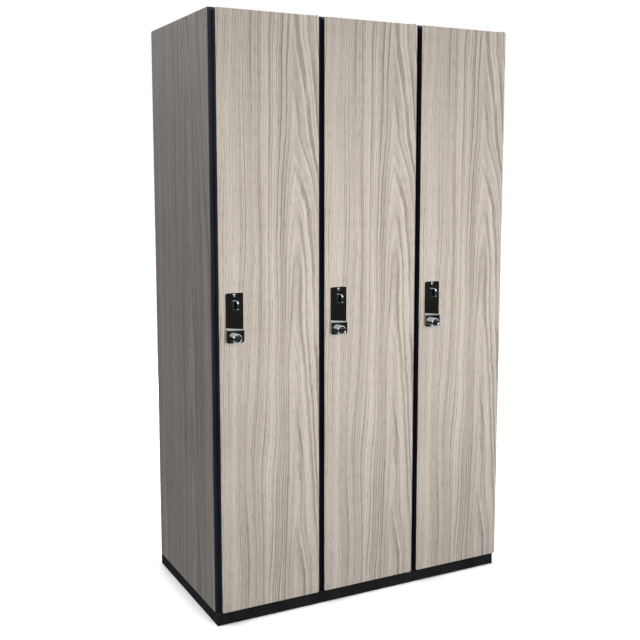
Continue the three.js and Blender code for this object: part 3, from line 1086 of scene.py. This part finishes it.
def build_coin_entry():
    """A foot with the slot in it, and beside the slot a raised fin with rounded ends."""
    foot_thick = 3 * MM
    fin_thick = 4.2 * MM
    upper_round = 8 * MM
    lower_round = 4.5 * MM
    low, high = entry_low, entry_high
    foot_front = high.y - foot_thick
    fin_left = high.x - fin_thick
    entry = block("coin_entry_body", (low.x, foot_front, low.z), high)
    slice_at(entry, (fin_left, high.y, low.z), (1, 0, 0))
    pick_faces(entry, lambda c, n: n.y < -0.9 and c.x > fin_left)
    push_picked((0, low.y - foot_front, 0))
    close_mesh(entry)
    pick_edges(entry, lambda m, w: along(w, ALONG_X) and near(m.y, low.y) and m.z > high.z - 1 * MM)
    round_picked(entry, upper_round, 8)
    pick_edges(entry, lambda m, w: along(w, ALONG_X) and near(m.y, low.y) and m.z < low.z + 1 * MM)
    round_picked(entry, lower_round, 6)
    ease_all(entry, 0.5 * MM, 2, 50)
    carve(entry, coin_way(low.y, high.y, 1.7 * MM, 2 * MM))
    tidy_mesh(entry)
    fit(entry, CHROME, "coin_entry", "door_{}", 38)


def build_barrel():
    """The fixed sleeve with its wide head, and the nut that holds it to the door."""
    head_foot = 12.5 * MM
    head_face = 12 * MM
    body_radius = 9.5 * MM
    plug_bore = 6.9 * MM
    face_rim = 1.2 * MM
    face_slope = 0.8 * MM
    face_dish = 0.9 * MM
    low, high = barrel_low, barrel_high
    x, z = BARREL_X, BARREL_Z
    face_middle = Vector((x, low.y, z))
    head_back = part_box("lock_plate_1")[0].y - 0.3 * MM
    head = rod("lock_barrel_body", (x, head_back, z), face_middle, head_foot, 48, head_face)
    pick_faces(head, lambda c, n: n.y < -0.9)
    bpy.ops.mesh.inset(thickness=face_rim)
    bpy.ops.mesh.inset(thickness=face_slope)
    bpy.ops.transform.translate(value=(0, face_dish, 0))
    close_mesh(head)
    pick_edges(head, lambda m, w: near(m.y, low.y) and near((m - face_middle).length, head_face, 0.1 * MM))
    round_picked(head, 1.1 * MM, 4)
    body = rod("barrel body", (x, head_back - 1 * MM, z), (x, high.y, z), body_radius, 48)
    ease_all(body, 0.5 * MM)
    carve(head, barrel_drill(low.y, head_back, plug_bore, 48))
    carve(body, barrel_drill(low.y, high.y, plug_bore, 48))
    tidy_mesh(head)
    tidy_mesh(body)
    piece = joined("lock_barrel_body", head, body)
    fit(piece, CHROME, "lock_barrel", "door_{}", 38)

    nut_front = door_high.y
    nut_back = nut_front + 4.5 * MM
    nut = rod("barrel_nut", (x, nut_front, z), (x, nut_back, z), 12.1 * MM, 6)
    ease_all(nut, 0.5 * MM)
    carve(nut, barrel_drill(nut_front, nut_back, 9.6 * MM, 48))
    tidy_mesh(nut)
    fit(nut, ZINC, None, "door_{}")


def build_key_plug():
    plug_radius = 6.5 * MM
    keyway_half_width = 1.2 * MM
    keyway_half_height = 4.5 * MM
    keyway_depth = 16 * MM
    low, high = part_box("key_plug_1")
    x, z = BARREL_X, BARREL_Z
    core = rod("key_plug_core", (x, low.y, z), (x, high.y, z), plug_radius, 48)
    ease_all(core, 0.4 * MM)
    keyway = block(
        "keyway",
        (x - keyway_half_width, low.y - OVERSHOOT, z - keyway_half_height),
        (x + keyway_half_width, low.y + keyway_depth, z + keyway_half_height),
    )
    carve(core, keyway)
    tidy_mesh(core)
    finish_faces(core, (BRASS, None), (CHROME, lambda c, n: c.y < low.y + 0.6 * MM))
    soften(core)
    hand_out(core, "key_plug", "key_{}")


def build_cam():
    """The arm on the key plug's rear end, with its screw."""
    hub_round = 6.9 * MM
    tip_round = 4 * MM
    low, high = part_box("lock_cam_1")
    cam = block("lock_cam_arm", low, high)
    pick_edges(cam, lambda m, w: along(w, ALONG_Y) and near(m.z, high.z))
    round_picked(cam, hub_round, 8)
    pick_edges(cam, lambda m, w: along(w, ALONG_Y) and near(m.z, low.z))
    round_picked(cam, tip_round, 5)
    ease_all(cam, 0.35 * MM)
    fit(cam, ZINC, "lock_cam", "key_{}")
    seat = ((low.x + high.x) / 2, high.y, BARREL_Z)
    screws("cam_screw", [seat], ALONG_Y, 4.5 * MM, 3 * MM, "key_{}")


def build_case():
    """The lock case behind the door, with a shallow panel in its back and a way out for the coin."""
    wall = 2 * MM
    panel_margin = 5 * MM
    panel_slope = 0.8 * MM
    panel_depth = 0.8 * MM
    way_margin = 3 * MM
    screw_from_corner = 3.6 * MM
    low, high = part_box("lock_case_1")
    case = block("lock_case_shell", low, high)
    pick_faces(case, lambda c, n: n.y > 0.9)
    bpy.ops.mesh.inset(thickness=panel_margin)
    bpy.ops.mesh.inset(thickness=panel_slope)
    bpy.ops.transform.translate(value=(0, -panel_depth, 0))
    close_mesh(case)
    pick_edges(case, lambda m, w: along(w, ALONG_Y))
    round_picked(case, 3 * MM, 5)
    ease_all(case, 0.5 * MM, 2, 50)
    inner_back = high.y - wall - panel_depth
    hollow = block(
        "hollow",
        (low.x + wall, low.y - OVERSHOOT, low.z + wall),
        (high.x - wall, inner_back, high.z - wall),
    )
    way_out = block(
        "way out",
        (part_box("coin_cup_1")[0].x + way_margin, low.y + way_margin, low.z - OVERSHOOT),
        (high.x - wall, inner_back - way_margin, low.z + OVERSHOOT),
    )
    carve(case, hollow, way_out)
    tidy_mesh(case)
    fit(case, MOULDED_BLACK, "lock_case", "door_{}", 38)
    columns = (low.x + screw_from_corner, high.x - screw_from_corner)
    rows = (high.z - screw_from_corner, low.z + screw_from_corner)
    seats = [(x, high.y, z) for z in rows for x in columns]
    screws("case_screws", seats, ALONG_Y, 2.2 * MM, 1.2 * MM, "door_{}")


def build_coin_cup():
    """An open tray under the lock case, where the coin comes back."""
    wall = 2 * MM
    corner = 4 * MM
    low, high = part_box("coin_cup_1")
    cup = block("coin_cup_tray", low, high)
    pick_edges(cup, lambda m, w: along(w, ALONG_Z) and near(m.y, high.y))
    round_picked(cup, corner, 5)
    pick_faces(cup, lambda c, n: n.z > 0.9)
    bpy.ops.mesh.inset(thickness=wall)
    push_picked((0, 0, low.z - high.z + wall))
    close_mesh(cup)
    pick_edges(cup, lambda m, w: along(w, ALONG_X) and near(m.y, high.y) and near(m.z, low.z))
    round_picked(cup, corner, 4)
    ease_all(cup, 0.5 * MM, 2, 50)
    fit(cup, MOULDED_BLACK, "coin_cup", "door_{}", 38)


def finish_levers():
    """The coin levers stay as they are inside their closed cases, and only get their metal."""
    for number in LOCKERS:
        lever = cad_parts[f"coin_lever_{number}"]
        lever.data.materials.clear()
        lever.data.materials.append(BRASS)


# ---------------------------------------------------------------- studio
def build_floor():
    """A white floor just under the plinth, which throws no light back on the lockers."""
    nothing_selected()
    bpy.ops.mesh.primitive_plane_add(size=40, location=(0, 0, -0.5 * MM))
    floor = bpy.context.object
    floor.name = "studio_floor"
    material, tree, shader, place = start_finish("pale floor")
    tone = use_group(tree, FINE_MOTTLING, Place=place, Scale=0.6, Low=0.0, High=1.0)
    paint = blend_colours(tree, tone["Value"], (0.9, 0.9, 0.9, 1), (0.92, 0.92, 0.92, 1))
    plug(tree, paint, shader.inputs["Base Color"])
    shader.inputs["Roughness"].default_value = 0.9
    shader.inputs["Specular IOR Level"].default_value = 0.0
    floor.data.materials.append(material)
    floor.visible_diffuse = False
    floor.visible_glossy = False


def build_surroundings():
    """White to the camera, a soft fill to matt faces, and a dark room with a bright sky to metal."""
    world = bpy.data.worlds.new("studio")
    bpy.context.scene.world = world
    world.use_nodes = True
    tree = world.node_tree
    tree.nodes.clear()
    end = node(tree, "ShaderNodeOutputWorld")
    ray = node(tree, "ShaderNodeLightPath")
    fill = node(tree, "ShaderNodeBackground")
    fill.inputs["Color"].default_value = (0.96, 0.97, 1.0, 1)
    fill.inputs["Strength"].default_value = 0.31
    reflected = node(tree, "ShaderNodeBackground")
    direction = node(tree, "ShaderNodeSeparateXYZ")
    plug(tree, node(tree, "ShaderNodeTexCoord").outputs["Generated"], direction.inputs[0])
    above = spread(tree, direction.outputs["Z"], -0.02, 0.24)
    below = spread(tree, direction.outputs["Z"], -0.75, -0.3, 0.4, 0.0)
    bright = calc(tree, "MAXIMUM", above, below)
    sky = blend_colours(tree, bright, (0.03, 0.032, 0.029, 1), (1.15, 1.25, 1.32, 1))
    plug(tree, sky, reflected.inputs["Color"])
    seen = node(tree, "ShaderNodeBackground")
    seen.inputs["Color"].default_value = (1, 1, 1, 1)
    for_gloss = node(tree, "ShaderNodeMixShader")
    plug(tree, ray.outputs["Is Glossy Ray"], for_gloss.inputs[0])
    plug(tree, fill.outputs[0], for_gloss.inputs[1])
    plug(tree, reflected.outputs[0], for_gloss.inputs[2])
    for_camera = node(tree, "ShaderNodeMixShader")
    plug(tree, ray.outputs["Is Camera Ray"], for_camera.inputs[0])
    plug(tree, for_gloss.outputs[0], for_camera.inputs[1])
    plug(tree, seen.outputs[0], for_camera.inputs[2])
    plug(tree, for_camera.outputs[0], end.inputs["Surface"])


def soft_box(name, place, target, width, height, power, tint=(1, 1, 1)):
    lamp = bpy.data.lights.new(name, "AREA")
    lamp.shape = "RECTANGLE"
    lamp.size = width
    lamp.size_y = height
    lamp.energy = power
    lamp.color = tint
    holder = bpy.data.objects.new(name, lamp)
    bpy.context.scene.collection.objects.link(holder)
    holder.location = place
    holder.rotation_euler = (Vector(target) - Vector(place)).to_track_quat("-Z", "Y").to_euler()
    holder.visible_camera = False
    return holder


def build_lights():
    front = soft_box(
        "front light",
        (0.1, -1.75, 0.88),
        (-0.05, -0.2, 0.87),
        width=1.6,
        height=0.75,
        power=23.5,
    )
    front.visible_glossy = False
    back = soft_box(
        "back fill",
        (0.25, 2.9, 1.0),
        (0.0, 0.25, 0.8),
        width=1.0,
        height=1.4,
        power=32.0,
    )
    back.visible_glossy = False
    # a strip that only polished metal shows, as a bright streak on the round barrels
    streak_light = soft_box(
        "metal streak",
        (-1.9, -1.5, 1.7),
        (0.0, -0.23, 0.8),
        width=0.6,
        height=1.0,
        power=20.0,
        tint=(0.86, 0.93, 1),
    )
    streak_light.visible_diffuse = False
    sun = bpy.data.lights.new("overhead", "SUN")
    sun.energy = 3.0
    sun.angle = math.radians(5)
    holder = bpy.data.objects.new("overhead", sun)
    bpy.context.scene.collection.objects.link(holder)


def build_camera():
    looking_down = math.radians(6.718)
    turned_right = math.radians(27.527)
    lens = bpy.data.cameras.new("camera")
    lens.sensor_width = 36
    lens.lens = 53.16
    lens.shift_y = -0.0453
    lens.clip_start = 0.05
    lens.clip_end = 100
    holder = bpy.data.objects.new("camera", lens)
    bpy.context.scene.collection.objects.link(holder)
    holder.location = (-1.3011, -2.4292, 1.1603)
    holder.rotation_euler = (math.radians(90) - looking_down, 0, -turned_right)
    bpy.context.scene.camera = holder


# ---------------------------------------------------------------- the whole bank
build_cabinet()
build_doors()
build_hinges()
build_strike()
build_hook()
build_small_fittings()
build_lock_plate()
build_coin_entry()
build_barrel()
build_key_plug()
build_cam()
build_case()
build_coin_cup()
finish_levers()

build_floor()
build_surroundings()
build_lights()
build_camera()
bpy.context.scene.view_settings.view_transform = "Standard"
bpy.context.scene.view_settings.look = "None"
